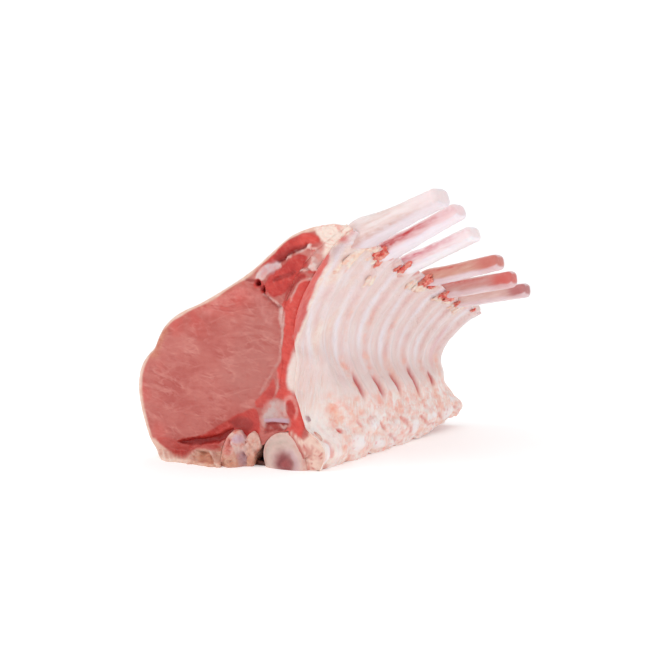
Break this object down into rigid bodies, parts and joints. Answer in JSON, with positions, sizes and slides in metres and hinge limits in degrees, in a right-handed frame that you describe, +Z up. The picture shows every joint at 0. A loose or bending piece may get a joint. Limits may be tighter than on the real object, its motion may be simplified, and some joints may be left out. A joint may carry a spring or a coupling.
{
  "type": "rack of pork ribs",
  "caption": "Raw bone-in pork loin rack standing on its sawn backbone, with the ends of its ribs scraped bare and sticking out of the meat.",
  "frame": {"origin": "centre of the bounding box, on the ground plane that the sawn backbone rests on", "axes": "+Y along the backbone from the large front cut to the small rear cut, +X to the chest side where the bared ribs end, +Z up"},
  "size_m": [0.1892, 0.2278, 0.1373],
  "materials": {
    "lean_meat": "moist raw pale pink meat with fine fibres",
    "dark_meat": "moist raw dark red meat",
    "fat": "soft cream and orange-tinged fat",
    "rib_membrane": "wet glossy pale pink membrane over meat and ribs",
    "bared_bone": "moist scraped bone, pale lavender pink with red traces",
    "sawn_bone": "damp sawn bone and cartilage"
  },
  "bodies": {
    "root": {"arch_bone": "sawn_bone", "chine_disc": "sawn_bone", "fat_cover": "fat", "feather_bone_1": "sawn_bone", "feather_bone_2": "sawn_bone", "feather_bone_3": "sawn_bone", "feather_bone_4": "sawn_bone", "feather_bone_5": "sawn_bone", "feather_bone_6": "sawn_bone", "feather_bone_7": "sawn_bone", "inner_cap_muscle": "dark_meat", "loin_eye": "lean_meat", "lower_muscle": "lean_meat", "multifidus_muscle": "dark_meat", "outer_cap_muscle": "dark_meat", "rib_bone_1": "bared_bone", "rib_bone_2": "bared_bone", "rib_bone_3": "bared_bone", "rib_bone_4": "bared_bone", "rib_bone_5": "bared_bone", "rib_bone_6": "bared_bone", "rib_bone_7": "bared_bone", "rib_wall": "rib_membrane", "seam_muscle": "dark_meat", "vertebra_1": "sawn_bone", "vertebra_2": "sawn_bone", "vertebra_3": "sawn_bone", "vertebra_4": "sawn_bone", "vertebra_5": "sawn_bone", "vertebra_6": "sawn_bone", "vertebra_7": "sawn_bone"}
  },
  "joints": []
}
